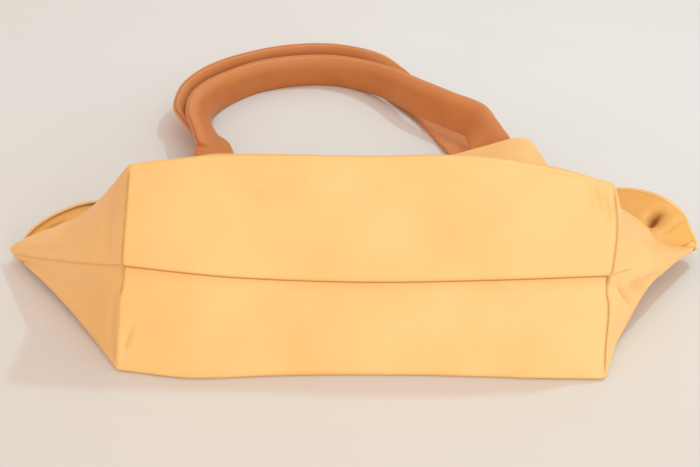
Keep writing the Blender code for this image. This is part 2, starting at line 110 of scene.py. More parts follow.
# Soft pushes of the whole bag: middle, reach and shift.
PUSHES = (
    ((0.160, -0.094, 0.098), (0.020, 0.030, 0.024), (0.0034, 0.0, 0.0)),
    ((0.160, -0.106, 0.060), (0.020, 0.020, 0.009), (-0.0026, 0.0, 0.0)),
    ((-0.160, -0.106, 0.060), (0.020, 0.020, 0.009), (0.0016, 0.0, 0.0)),
    ((-0.112, -0.125, 0.000), (0.060, 0.060, 0.050), (0.0, -0.0078, 0.0)),
    ((0.180, -0.095, 0.015), (0.020, 0.022, 0.018), (-0.0050, 0.0010, 0.0)),
    ((0.160, -0.125, 0.000), (0.050, 0.040, 0.040), (0.0, -0.0025, 0.0)),
    ((0.135, -0.084, 0.132), (0.020, 0.040, 0.030), (0.0, 0.0, 0.0020)),
)
BASE_STATION_SHARES = (-1.0, -0.5, 0.0, 0.5, 1.0)
TOP_EDGE_SHARES = ((-0.930, 0.950), (-0.480, 0.995), (0.000, 1.002), (0.480, 1.005), (0.972, 0.905))
CENTRE_SEAM_SHARES = ((-0.975, 0.494), (-0.490, 0.452), (0.000, 0.440), (0.490, 0.460), (0.997, 0.493))

# Each strap's loop: place across, place beyond the feet, roll in degrees, lift. Most rows come from a fit of
# the strap's edges to points read off the photograph, with the ends set one by one.
LOOP_SHARES = {
    "back": (
        (-0.832, 0.084, 143.0, 0.24), (-0.876, 0.168, 136.0, 0.28), (-0.919, 0.259, 130.3, 0.27),
        (-0.943, 0.360, 119.1, 0.20), (-0.948, 0.470, 105.3, 0.11), (-0.916, 0.588, 93.6, 0.05),
        (-0.827, 0.716, 86.0, 0.01), (-0.637, 0.870, 79.7, 0.00), (-0.395, 0.949, 76.4, 0.00),
        (-0.191, 0.959, 76.6, 0.00), (-0.012, 0.897, 80.2, 0.03), (0.163, 0.754, 87.1, 0.15),
        (0.321, 0.546, 96.5, 0.33), (0.497, 0.387, 104.3, 0.38), (0.640, 0.273, 112.2, 0.40),
        (0.668, 0.172, 126.0, 0.44), (0.688, 0.088, 140.0, 0.52),
    ),
    "front": (
        (-0.818, 0.075, 165.0, 0.00), (-0.860, 0.160, 154.7, 0.00), (-0.944, 0.229, 140.8, 0.00),
        (-1.024, 0.297, 126.2, 0.00), (-1.046, 0.382, 111.8, 0.00), (-1.048, 0.466, 97.5, 0.00),
        (-1.013, 0.570, 89.6, 0.00), (-0.914, 0.692, 83.8, 0.00), (-0.748, 0.804, 80.0, 0.00),
        (-0.502, 0.903, 78.1, 0.00), (-0.234, 0.932, 78.2, 0.00), (0.016, 0.867, 88.0, 0.00),
        (0.199, 0.737, 132.0, 0.00), (0.323, 0.609, 162.0, 0.00), (0.433, 0.474, 175.0, 0.00),
        (0.530, 0.292, 179.0, 0.00), (0.613, 0.116, 180.0, 0.02),
    ),
}
LOOP_REACH = {"back": 0.237, "front": 0.278}
FOOT_STEPS = 8
SAME_PLACE = 0.00001


def read_foot(side, hand):
    """Middle of a foot across, its stations from inside the bag to its exit, and its height at each."""
    points = []
    for layer in ("outer", "inner"):
        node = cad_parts[f"{side}_{hand}_foot_{layer}"]
        points += [tuple(node.matrix_world @ vertex.co) for vertex in node.data.vertices]
    points = np.array(points)
    points[:, 1] += ORIGIN_SETBACK
    corners = np.unique(points[:, 1].round(5))
    heights = []
    for along in corners:
        ring = points[np.abs(points[:, 1] - along) < SAME_PLACE, 2]
        heights.append((ring.min() + ring.max()) / 2)
    stations = np.linspace(corners[0], corners[-1], FOOT_STEPS + 1)
    middle = (points[:, 0].min() + points[:, 0].max()) / 2
    return middle, stations, np.interp(stations, corners, heights)


FEET = {side: [read_foot(side, hand) for hand in ("left", "right")] for side in ("back", "front")}
STRAP_EXIT, FOOT_SLOPE = {}, {}
for strap_side, (left_foot, right_foot) in FEET.items():
    STRAP_EXIT[strap_side] = left_foot[1][-1]
    FOOT_SLOPE[strap_side] = (right_foot[2][-1] - left_foot[2][-1]) / (right_foot[0] - left_foot[0])


def hermite(start, end, leaving, arriving, share):
    """Point at share on the curve from start to end with the given directions at its ends."""
    square = share * share
    cube = square * share
    return (
        start * (2 * cube - 3 * square + 1) + leaving * (cube - 2 * square + share)
        + end * (3 * square - 2 * cube) + arriving * (cube - square)
    )


def curve_slope(places, values, index):
    """Slope of the smooth curve at one of its points, from both neighbours."""
    first, last = max(index - 1, 0), min(index + 1, len(places) - 1)
    if index in (first, last):
        return (values[last] - values[first]) / (places[last] - places[first])
    before, after = places[index] - places[first], places[last] - places[index]
    slope_before = (values[index] - values[first]) / before
    slope_after = (values[last] - values[index]) / after
    return (slope_before * after + slope_after * before) / (before + after)


def smooth_lookup(places, values, place):
    """Value at place on the smooth curve through values, which stand at increasing places."""
    index = 0
    while index < len(places) - 2 and place > places[index + 1]:
        index += 1
    step = places[index + 1] - places[index]
    leaving = curve_slope(places, values, index) * step
    arriving = curve_slope(places, values, index + 1) * step
    return hermite(values[index], values[index + 1], leaving, arriving, (place - places[index]) / step)


def on_base(across, height):
    """Point of the leaning base wall."""
    return np.array((across, BASE_LEAN * height / BASE_HEIGHT, height))


def base_edge(shares, across):
    """Point of a curve across the base, which its shares give at five stations."""
    place = smooth_lookup(BASE_STATION_SHARES, [np.array(row) for row in shares], across)
    return on_base(place[0] * BASE_LENGTH / 2, place[1] * BASE_HEIGHT)


def outer_edge(side, across):
    """Point of the base's lower or upper edge."""
    if side == "front":
        return on_base(across * BASE_LENGTH / 2, FLOOR_FACE)
    return base_edge(TOP_EDGE_SHARES, across)


def base_start(side, girth):
    """Where a panel's column leaves the base."""
    if abs(girth) <= FOLD_SHARE:
        return outer_edge(side, girth / FOLD_SHARE)
    corner = math.copysign(1.0, girth)
    down = (abs(girth) - FOLD_SHARE) / (1.0 - FOLD_SHARE)
    near = outer_edge(side, corner)
    return near + (base_edge(CENTRE_SEAM_SHARES, corner) - near) * down


def panel_column(side, girth, alongs):
    """Points of a panel's inner face from the base to the rim."""
    girths = [row[0] for row in COLUMNS[side]]
    columns = [np.array(row[1:]) for row in COLUMNS[side]]
    across, reach, height, leave, arrive = smooth_lookup(girths, columns, girth)
    start = base_start(side, girth)
    end = np.array((across * MOUTH_HALF_WIDTH, reach * PANEL_REACH, max(height * BASE_HEIGHT, FLOOR_FACE)))
    run = end - start
    leaving = run * np.array((1.0, 1.0, leave))
    arriving = run * np.array((1.0, 1.0, arrive))
    points = np.array([hermite(start, end, leaving, arriving, along) for along in alongs])
    for middle, reach, shift in BOWS[side]:
        strength = math.exp(-((girth - middle) / reach) ** 2) * min(1.0, (1 - abs(girth)) / BOW_FADE)
        points += np.outer(BOW_SCALE * alongs ** 2 * (1 - alongs), np.array(shift) * strength)
    points[:, 2] = np.maximum(points[:, 2], FLOOR_FACE)
    return points


def spaced(length, fine, coarse, growths):
    """Shares from 0 to 1 whose steps grow from fine at both ends to coarse in the middle."""
    halves = []
    for growth in growths:
        places, step = [0.0], fine
        while places[-1] + step < length / 2:
            places.append(places[-1] + step)
            step = min(step * growth, coarse)
        halves.append(np.array(places))
    return np.concatenate((halves[0], length - halves[1][::-1])) / length


GUSSET_LENGTH = BASE_HEIGHT / 2
ACROSS = spaced(BASE_LENGTH, 0.0005, 0.0042, (1.05, 1.05)) * 2 - 1
GUSSET = spaced(GUSSET_LENGTH, 0.0005, 0.0028, (1.2, 1.2))[1:]
ALONG = spaced(PANEL_REACH, 0.0007, 0.0040, (1.12, 1.10))
GIRTHS = [-(FOLD_SHARE + (1 - FOLD_SHARE) * s) for s in GUSSET[::-1]]
GIRTHS += [FOLD_SHARE * a for a in ACROSS] + [FOLD_SHARE + (1 - FOLD_SHARE) * s for s in GUSSET]
FIRST = len(GUSSET)
LAST = FIRST + len(ACROSS) - 1


WELDS_PER_METRE = 20000


class Skin:
    """The bag's inner face as one welded surface: places, quads by side, and the rows of each side."""

    def __init__(self):
        self.places = []
        self.quads = {"front": [], "back": []}
        self.rows = {}
        self.base_rows = {}
        self.welds = {}

    def add(self, point, weld=False):
        if weld:
            key = tuple(int(round(value * WELDS_PER_METRE)) for value in point)
            if key in self.welds:
                return self.welds[key]
            self.welds[key] = len(self.places)
        self.places.append(point)
        return len(self.places) - 1


def grid_quads(rows, flip):
    """Faces between neighbouring rows of vertex numbers."""
    quads = []
    for low, high in zip(rows, rows[1:]):
        for a, b, c, d in zip(low, low[1:], high[1:], high):
            quads.append((d, c, b, a) if flip else (a, b, c, d))
    return quads


def make_skin():
    """Both panels and the base between them, with the base split along its centre seam."""
    skin = Skin()
    for side in ("front", "back"):
        columns = [panel_column(side, girth, ALONG) for girth in GIRTHS]
        ends = (0, len(GIRTHS) - 1)
        rows = [
            [skin.add(column[row], index in ends) for index, column in enumerate(columns)]
            for row in range(len(ALONG))
        ]
        base_rows = [rows[0][FIRST:LAST + 1]]
        for down, share in enumerate(GUSSET, start=1):
            row = [rows[0][FIRST - down]]
            for across in ACROSS[1:-1]:
                edge = outer_edge(side, across)
                seam = base_edge(CENTRE_SEAM_SHARES, across)
                row.append(skin.add(edge + (seam - edge) * share, down == len(GUSSET)))
            row.append(rows[0][LAST + down])
            base_rows.append(row)
        skin.quads[side] += grid_quads(rows, side == "front")
        skin.quads[side] += grid_quads(base_rows, side != "front")
        skin.rows[side], skin.base_rows[side] = rows, base_rows
    skin.places = np.array(skin.places)
    skin.places[:, 1] -= ORIGIN_SETBACK
    pushed = [
        np.outer(np.exp(-(((skin.places - middle) / reach) ** 2).sum(axis=1)), shift)
        for middle, reach, shift in PUSHES
    ]
    skin.places += sum(pushed)
    skin.all_quads = np.array(skin.quads["front"] + skin.quads["back"])
    return skin


def vertex_normals(places, quads):
    """Unit normals at the vertices, weighted by the faces' areas."""
    corner = places[quads]
    face = np.cross(corner[:, 2] - corner[:, 0], corner[:, 3] - corner[:, 1])
    total = np.zeros_like(places)
    for index in range(4):
        np.add.at(total, quads[:, index], face)
    return total / np.maximum(np.linalg.norm(total, axis=1, keepdims=True), 1e-12)


def dense_line(points, step=0.0006):
    """Points close together along a line."""
    line = [points[0]]
    for start, end in zip(points, points[1:]):
        count = max(1, int(np.linalg.norm(end - start) / step))
        line += [start + (end - start) * (n + 1) / count for n in range(count)]
    return line


def point_tree(points):
    """Search tree over points."""
    tree = KDTree(len(points))
    for index, point in enumerate(points):
        tree.insert(point, index)
    tree.balance()
    return tree


def distances(places, lines):
    """Distance of every place from the nearest of the lines."""
    tree = point_tree([point for line in lines for point in dense_line(line)])
    return np.array([tree.find(place)[2] for place in places])


def seam_normals(places, normals, seam_rows, reach):
    """Normals that turn into those of the nearest seam place close to it, so that both sides sink alike."""
    tree = point_tree(places[seam_rows])
    mixed = normals.copy()
    for number, place in enumerate(places):
        _, index, gap = tree.find(place)
        if gap < reach:
            share = 1 - smooth_step(gap / reach)
            mixed[number] = mixed[number] * (1 - share) + normals[seam_rows[index]] * share
    return mixed


def smooth_step(value):
    """Soft step from 0 to 1."""
    value = np.clip(value, 0.0, 1.0)
    return value * value * (3 - 2 * value)


def relax(places, quads, weights, rounds):
    """Draw each vertex towards the mean of its neighbours, by its weight."""
    pairs = np.concatenate([quads[:, (0, 1)], quads[:, (1, 2)], quads[:, (2, 3)], quads[:, (3, 0)]])
    pairs = np.unique(np.sort(pairs, axis=1), axis=0)
    count = np.bincount(pairs.ravel(), minlength=len(places))[:, None]
    for _ in range(rounds):
        total = np.zeros_like(places)
        np.add.at(total, pairs[:, 0], places[pairs[:, 1]])
        np.add.at(total, pairs[:, 1], places[pairs[:, 0]])
        places = places + (total / count - places) * weights[:, None]
    return places


def wave(places, size, seed):
    """Smooth noise of about one unit, with features of the given size."""
    shift = Vector((seed * 3.7, seed * 1.3, seed * 5.1))
    return np.array([noise.noise(Vector(place) / size + shift) for place in places])


def make_material(name, build):
    """Material whose nodes build sets up."""
    material = bpy.data.materials.new(name)
    material.use_nodes = True
    tree = material.node_tree
    build(tree, tree.nodes["Principled BSDF"])
    return material


def add_node(tree, kind, **values):
    """Shader node with its settings, and its inputs by number as in_0, in_1 and so on."""
    node = tree.nodes.new(kind)
    for key, value in values.items():
        if key.startswith("in_"):
            node.inputs[int(key[3:])].default_value = value
        else:
            setattr(node, key, value)
    return node


def noise_between(tree, scale, dark, light, detail=3.0, contrast=0.18):
    """Colour that drifts between two colours."""
    coords = add_node(tree, "ShaderNodeTexCoord")
    cloud = add_node(tree, "ShaderNodeTexNoise")
    cloud.inputs["Scale"].default_value = scale
    cloud.inputs["Detail"].default_value = detail
    ramp = add_node(tree, "ShaderNodeValToRGB")
    ramp.color_ramp.elements[0].position = 0.5 - contrast
    ramp.color_ramp.elements[1].position = 0.5 + contrast
    ramp.color_ramp.elements[0].color = (*dark, 1.0)
    ramp.color_ramp.elements[1].color = (*light, 1.0)
    tree.links.new(coords.outputs["Object"], cloud.inputs["Vector"])
    tree.links.new(cloud.outputs["Fac"], ramp.inputs["Fac"])
    return ramp.outputs["Color"]


def mix_colour(tree, factor, first, second, mode="MIX"):
    """Mix of two colours, each a value or a socket."""
    node = add_node(tree, "ShaderNodeMix", data_type="RGBA", blend_type=mode)
    for socket, value in ((node.inputs[0], factor), (node.inputs[6], first), (node.inputs[7], second)):
        if isinstance(value, (int, float)):
            socket.default_value = value
        elif isinstance(value, tuple):
            socket.default_value = (*value, 1.0)
        else:
            tree.links.new(value, socket)
    return node.outputs[2]


def leather(dark, light, painted_shade_colour, grain=620.0, depth=0.10, rough=(0.40, 0.52), painted_light_colour=None):
    """Smooth leather: drifting colour, fine pebbled grain, painted shade mixed in along its seams, creases
    and grooves, and, when a light colour is given, painted light along lit edges.
    """
    def build(tree, shader):
        colour = noise_between(tree, 16.0, dark, light)
        fine = noise_between(tree, 420.0, (0.98, 0.978, 0.975), (1.0, 1.0, 1.0), detail=4.0)
        colour = mix_colour(tree, 1.0, colour, fine, "MULTIPLY")
        # Painted light: the edge attribute lightens the colour where light falls on a strap.
        if painted_light_colour is not None:
            edge = add_node(tree, "ShaderNodeAttribute", attribute_name="edge")
            colour = mix_colour(tree, edge.outputs["Fac"], colour, painted_light_colour)
        # Painted shade: the seam attribute darkens the colour in seams, creases, grooves and under the lip,
        # where shade falls.
        shade_mark = add_node(tree, "ShaderNodeAttribute", attribute_name="seam")
        colour = mix_colour(tree, shade_mark.outputs["Fac"], colour, painted_shade_colour)
        tree.links.new(colour, shader.inputs["Base Color"])
        coords = add_node(tree, "ShaderNodeTexCoord")
        cells = add_node(tree, "ShaderNodeTexVoronoi", feature="SMOOTH_F1")
        cells.inputs["Scale"].default_value = grain
        pores = add_node(tree, "ShaderNodeTexNoise")
        pores.inputs["Scale"].default_value = grain * 3
        creases = add_node(tree, "ShaderNodeTexNoise")
        creases.inputs["Scale"].default_value = grain / 12
        creases.inputs["Detail"].default_value = 6.0
        for texture in (cells, pores, creases):
            tree.links.new(coords.outputs["Object"], texture.inputs["Vector"])
        total = add_node(tree, "ShaderNodeMath", operation="MULTIPLY_ADD", in_1=0.5)
        tree.links.new(pores.outputs["Fac"], total.inputs[0])
        tree.links.new(cells.outputs["Distance"], total.inputs[2])
        both = add_node(tree, "ShaderNodeMath", operation="MULTIPLY_ADD", in_1=1.5)
        tree.links.new(creases.outputs["Fac"], both.inputs[0])
        tree.links.new(total.outputs[0], both.inputs[2])
        bump = add_node(tree, "ShaderNodeBump")
        bump.inputs["Strength"].default_value = depth
        bump.inputs["Distance"].default_value = 0.0004
        tree.links.new(both.outputs[0], bump.inputs["Height"])
        tree.links.new(bump.outputs["Normal"], shader.inputs["Normal"])
        spread = add_node(tree, "ShaderNodeMapRange")
        spread.inputs["To Min"].default_value = rough[0]
        spread.inputs["To Max"].default_value = rough[1]
        tree.links.new(creases.outputs["Fac"], spread.inputs["Value"])
        tree.links.new(spread.outputs["Result"], shader.inputs["Roughness"])
        shader.inputs["Specular IOR Level"].default_value = 0.35
    return build


def cloth(dark, light, threads=1400.0):
    """Plain woven cloth."""
    def build(tree, shader):
        colour = noise_between(tree, 60.0, dark, light)
        tree.links.new(colour, shader.inputs["Base Color"])
        coords = add_node(tree, "ShaderNodeTexCoord")
        heights = []
        for direction in ("X", "Y"):
            band = add_node(tree, "ShaderNodeTexWave", bands_direction=direction)
            band.inputs["Scale"].default_value = threads / 6
            band.inputs["Distortion"].default_value = 0.6
            tree.links.new(coords.outputs["Object"], band.inputs["Vector"])
            heights.append(band.outputs["Fac"])
        total = add_node(tree, "ShaderNodeMath", operation="MAXIMUM")
        tree.links.new(heights[0], total.inputs[0])
        tree.links.new(heights[1], total.inputs[1])
        bump = add_node(tree, "ShaderNodeBump")
        bump.inputs["Strength"].default_value = 0.4
        bump.inputs["Distance"].default_value = 0.0003
        tree.links.new(total.outputs[0], bump.inputs["Height"])
        tree.links.new(bump.outputs["Normal"], shader.inputs["Normal"])
        shader.inputs["Roughness"].default_value = 0.9
        shader.inputs["Specular IOR Level"].default_value = 0.2
    return build


YELLOW = make_material("yellow_leather_look", leather(
    (0.935, 0.545, 0.190), (0.980, 0.605, 0.237), (0.46, 0.18, 0.03)))
FACING = make_material("facing_leather_look", leather(
    (0.880, 0.445, 0.110), (0.935, 0.515, 0.150), (0.38, 0.13, 0.02)))
# The tan leather's lighter second colour is painted light, mixed in along the straps' lit edges.
TAN = make_material("tan_leather_look", leather(
    (0.570, 0.184, 0.043), (0.660, 0.236, 0.066), (0.22, 0.07, 0.02), grain=900.0, depth=0.08,
    painted_light_colour=(0.710, 0.285, 0.100)))
CLOTH = make_material("lining_cloth_look", cloth((0.62, 0.33, 0.10), (0.70, 0.40, 0.14)))
BOARD = make_material("base_board_look", cloth((0.30, 0.27, 0.24), (0.38, 0.34, 0.30), threads=500.0))


def make_object(name, places, faces, material, seam=None, edge=None):
    """Smooth mesh object, with the painted shade and painted light that its material mixes into its colour.
    """
    data = bpy.data.meshes.new(name)
    data.from_pydata([tuple(place) for place in places], [], [tuple(int(i) for i in face) for face in faces])
    data.validate()
    data.update()
    for polygon in data.polygons:
        polygon.use_smooth = True
    # The seam attribute carries painted shade, the edge attribute painted light.
    for label, values in (("seam", seam), ("edge", edge)):
        if values is not None:
            layer = data.attributes.new(label, "FLOAT", "POINT")
            layer.data.foreach_set("value", np.asarray(values, dtype=np.float32))
    data.materials.append(material)
    item = bpy.data.objects.new(name, data)
    bpy.context.scene.collection.objects.link(item)
    return item


def renumber(faces):
    """Vertices that the faces use, and the number of each among them."""
    used = sorted({index for face in faces for index in face})
    return used, {index: place for place, index in enumerate(used)}


def boundary(faces):
    """Edges that only one face uses, in that face's direction."""
    seen = {}
    for face in faces:
        for a, b in zip(face, list(face[1:]) + [face[0]]):
            if (b, a) in seen:
                del seen[(b, a)]
            else:
                seen[(a, b)] = True
    return list(seen)


def shell(name, outer, inner, faces, material, seam):
    """Closed body between an outer and an inner copy of the same faces."""
    used, number = renumber(faces)
    faces = [tuple(number[index] for index in face) for face in faces]
    count = len(used)
    places = np.concatenate((outer[used], inner[used]))
    whole = list(faces) + [tuple(index + count for index in reversed(face)) for face in faces]
    whole += [(b, a, a + count, b + count) for a, b in boundary(faces)]
    shade_marks = np.concatenate((seam[used], seam[used]))
    return make_object(name, places, whole, material, shade_marks)


SEAM_WIDTH = 0.0014
SEAM_DEPTH = 0.0016
CORNER_SEAM_WIDTH = 0.0008
CORNER_SEAM_DEPTH = 0.0009
TUCK_REACH = 0.0075
TUCK_DEPTH = 0.0020
BULGE = 0.0022
SEAM_KEEP = 0.006
CORNER_KEEP = 0.008
END_REACH = 0.012
EASE = 0.8
# How each base edge is rounded: side, radius and rounds.
BASE_ROUNDINGS = (("back", 0.008, 40), ("front", 0.0035, 8))
FOLD_RADIUS, FOLD_ROUNDS = 0.007, 20
CLOSED_START, CLOSED_ROUNDS = 0.176, 24
WRINKLES = ((0.0012, 0.075, 2), (0.0004, 0.028, 5))


def seam_lines(skin):
    """The centre and side seams as one line, and the two corner seams, as vertex numbers."""
    left = [row[0] for row in skin.rows["back"]][::-1]
    right = [row[-1] for row in skin.rows["back"]]
    centre = skin.base_rows["back"][-1]
    main = left + centre[1:] + right[1:]
    corners = []
    for end in (0, -1):
        down = [row[end] for row in skin.base_rows["back"]]
        up = [row[end] for row in skin.base_rows["front"]][::-1]
        corners.append(down + up[1:])
    return main, corners


def sculpt(skin):
    """Round the bends, sink the seams, swell the leather between them, wrinkle it, and paint shade along the
    seams and creases.
    """
    places, quads = skin.places, skin.all_quads
    main, corners = seam_lines(skin)
    from_main = distances(places, [places[main]])
    from_corner = distances(places, [places[line] for line in corners])
    edges = [skin.base_rows[side][0] for side in ("back", "front")]
    ends = [places[[row[end]]] for end in (0, -1) for row in edges]
    from_ends = distances(places, ends)
    near_end = 1 - smooth_step(from_ends / END_REACH)
    keep = smooth_step(from_main / SEAM_KEEP)
    keep = keep * np.maximum(smooth_step(from_corner / CORNER_KEEP), EASE * near_end)
    for side, radius, rounds in BASE_ROUNDINGS:
        bend = [places[skin.base_rows[side][0]]]
        near = np.exp(-(distances(places, bend) / radius) ** 2)
        places = relax(places, quads, near * keep * EASE, rounds)
    fold_lines = []
    for side in ("front", "back"):
        for end in (FIRST, LAST):
            fold_lines.append(places[[row[end] for row in skin.rows[side]]])
    near = np.exp(-(distances(places, fold_lines) / FOLD_RADIUS) ** 2)
    places = relax(places, quads, near * keep * EASE, FOLD_ROUNDS)
    rim = [places[skin.rows[side][-1]] for side in ("front", "back")]
    closed = smooth_step((places[:, 0] - CLOSED_START) / END_REACH)
    closed *= smooth_step(distances(places, rim) / END_REACH)
    places = relax(places, quads, np.exp(-(from_main / SEAM_KEEP) ** 2) * closed * EASE, CLOSED_ROUNDS)
    normals = vertex_normals(places, quads)
    on_wall = np.zeros(len(places))
    for side in ("front", "back"):
        on_wall[[index for row in skin.base_rows[side] for index in row]] = 1.0
    base_line = [places[skin.base_rows["back"][0]]]
    near_base = np.maximum(on_wall, 1 - smooth_step(distances(places, base_line) / 0.05))
    right_fade = 1 - smooth_step((places[:, 0] - 0.171) / 0.013) * (1 - on_wall)
    corner_fade = 1 - 0.9 * near_end
    corner_fade *= 1 - 0.8 * smooth_step((0.056 - places[:, 2]) / 0.008) * (places[:, 0] < 0)
    sink = -SEAM_DEPTH * np.exp(-(from_main / SEAM_WIDTH) ** 2) * right_fade
    pinch = -CORNER_SEAM_DEPTH * np.exp(-(from_corner / CORNER_SEAM_WIDTH) ** 2) * corner_fade
    main_normals = seam_normals(places, normals, main, 0.008)
    corner_normals = seam_normals(places, normals, corners[0] + corners[1], 0.004)
    swell = BULGE * smooth_step(from_main / 0.035) * smooth_step(from_corner / 0.05) * on_wall
    lower = np.zeros(len(places))
    lower[[index for row in skin.base_rows["front"][:-1] for index in row]] = 1.0
    tuck = -TUCK_DEPTH * lower * np.exp(-(from_main / TUCK_REACH) ** 2)
    soft = sum(height * wave(places, size, seed) for height, size, seed in WRINKLES)
    soft *= smooth_step(from_main / 0.02) * smooth_step(from_corner / 0.02) * (0.35 + 0.65 * near_base)
    seams = main_normals * sink[:, None] + corner_normals * pinch[:, None]
    plain = places + normals * (swell + tuck + soft)[:, None] + seams
    plain[:, 2] = np.maximum(plain[:, 2], FLOOR_FACE)
    folds, fold_shade = stroke_shift(places, cast_strokes(plain, quads))
    places = places + normals * (swell + tuck + soft + folds)[:, None] + seams
    places[:, 2] = np.maximum(places[:, 2], FLOOR_FACE)
    # Painted shade: dark lines in the seam and corner seam grooves, a soft band under the centre seam where
    # the upper half overhangs it, and the creases' shade.
    seam = 0.9 * np.exp(-(from_main / 0.0008) ** 2) * right_fade
    seam = np.maximum(seam, 0.95 * np.exp(-(from_corner / 0.0010) ** 2) * corner_fade)
    seam = np.maximum(seam, 0.11 * lower * np.exp(-(from_main / 0.0055) ** 2))
    seam = np.maximum(seam, fold_shade)
    return places, vertex_normals(places, quads), seam, from_main


PHOTO_WIDTH, PHOTO_HEIGHT = 700, 467
CAMERA_LENS = 50.0
CAMERA_SENSOR = 36.0
CAMERA_PLACE = Vector((-0.00936, -0.64394, 0.4077))
CAMERA_PITCH = math.radians(30.0)
CAMERA_ROLL = math.radians(1.2)


def camera_matrix():
    """Place and turn of the camera that took the photograph."""
    forward = Vector((0.0, math.cos(CAMERA_PITCH), -math.sin(CAMERA_PITCH)))
    level = Vector((1.0, 0.0, 0.0))
    over = level.cross(forward)
    right = level * math.cos(CAMERA_ROLL) + over * math.sin(CAMERA_ROLL)
    up = over * math.cos(CAMERA_ROLL) - level * math.sin(CAMERA_ROLL)
    matrix = Matrix((right, up, -forward)).transposed().to_4x4()
    matrix.translation = CAMERA_PLACE
    return matrix


# Creases and folds: width, height along the surface's normal, painted shade in the crease, and the points
# that each follows, chosen in the photograph and given in its pixels.
STROKES = {
    "left_upper_valley": (
        0.0075, -0.0018, 0.00, ((117, 192), (109, 212), (107, 232), (108, 244), (114, 256)),
    ),
    "left_lower_valley": (0.0050, -0.0014, 0.00, ((117, 290), (114, 312), (112, 332), (113, 350))),
    "left_base_fold": (0.0024, -0.0016, 0.15, ((123, 350), (128, 338), (134, 325))),
    "left_base_fold_lip": (0.0020, 0.0012, 0.00, ((121, 330), (120, 348), (118, 362))),
    "left_dimple": (0.0020, -0.0009, 0.00, ((53, 225), (56, 233))),
    "low_dent": (0.0080, -0.0015, 0.00, ((140, 342), (170, 346), (200, 348), (245, 349))),
    "right_ridge": (0.0060, 0.0020, 0.00, ((622, 277), (640, 273), (654, 269), (668, 264))),
    "right_valley": (0.0036, -0.0060, 0.12, ((615, 280), (621, 289), (628, 297), (634, 303))),
    "right_facet": (0.0065, -0.0060, 0.13, ((626, 284), (638, 286), (648, 281), (658, 273))),
    "right_wrinkle_a": (0.0048, -0.0018, 0.03, ((591, 181), (595, 194), (600, 208), (606, 224))),
    "right_wrinkle_b": (0.0024, 0.0006, 0.00, ((598, 184), (602, 197), (607, 212))),
    "right_wrinkle_c": (0.0020, -0.0006, 0.04, ((602, 186), (605, 200), (609, 214))),
    "soft_dent_a": (0.0060, -0.0012, 0.00, ((228, 184), (234, 192), (240, 202))),
    "soft_dent_b": (0.0060, -0.0012, 0.00, ((250, 188), (255, 198), (258, 208))),
    # The ear and crescent strokes carry strong painted shade: a fold at the ear painted fully dark, and dark
    # pleat and crescent lines.
    "ear_fold_painted_shade": (0.0050, 0.0090, 1.60, ((660, 211), (654, 219), (650, 228))),
    "ear_roll": (0.0065, -0.0045, 0.00, ((680, 214), (674, 226), (668, 238))),
    "ear_pleat": (0.0015, 0.0018, 0.35, ((683, 221), (673, 229), (662, 238))),
    "left_crescent": (0.0015, 0.0018, 0.75, ((44, 231), (55, 226), (66, 221))),
}


STROKE_STEP = 0.001
STROKE_REACH = 3
STROKE_END = 0.02
STROKE_FADE = 0.7
STROKE_DECIMALS = 4


def cast_strokes(places, quads):
    """Width, height, painted shade and line of each stroke, cast from the camera onto the leather to 0.1 mm.
    """
    tree = BVHTree.FromPolygons([tuple(place) for place in places], [tuple(map(int, quad)) for quad in quads])
    view = camera_matrix()
    focus = CAMERA_LENS / CAMERA_SENSOR * PHOTO_WIDTH
    strokes = []
    for width, height, shade_mark, pixels in STROKES.values():
        line = []
        for across, down in pixels:
            ray = Vector(((across - PHOTO_WIDTH / 2) / focus, (PHOTO_HEIGHT / 2 - down) / focus, -1.0))
            hit = tree.ray_cast(view.translation, (view.to_3x3() @ ray).normalized())[0]
            line.append(np.array(hit).round(STROKE_DECIMALS))
        strokes.append((width, height, shade_mark, line))
    return strokes


def stroke_shift(places, strokes):
    """Height and painted shade that the creases and folds add at each place."""
    total, shade_marks = np.zeros(len(places)), np.zeros(len(places))
    for width, height, shade_mark, line in strokes:
        points = dense_line(line, STROKE_STEP)
        shares = np.linspace(0.0, 1.0, len(points))
        tree = point_tree(points)
        for number, place in enumerate(places):
            _, index, gap = tree.find(place)
            if gap < STROKE_REACH * width:
                share = min(max(shares[index], STROKE_END), 1 - STROKE_END)
                fade = math.sin(math.pi * share) ** STROKE_FADE
                near = math.exp(-(gap / width) ** 2) * fade
                total[number] += height * near
                shade_marks[number] = max(shade_marks[number], shade_mark * near)
    return total, shade_marks


RIM_INSIDE = 0.0021
LEFT_HEM = 0.0036
RIGHT_HEM = 0.0016
RIM_RETURN_ROWS = 4
RIM_STEPS = 7
# Painted shade along the lip's inner edge, where it meets the facing.
RIM_SHADE = 0.4
EAR_START, EAR_FADE = 0.10, 0.05
FACING_NEAR, FACING_FAR = 0.0003, 0.0015
FACING_END_GAP = 0.012
LINING_NEAR, LINING_FAR = 0.0004, 0.0010


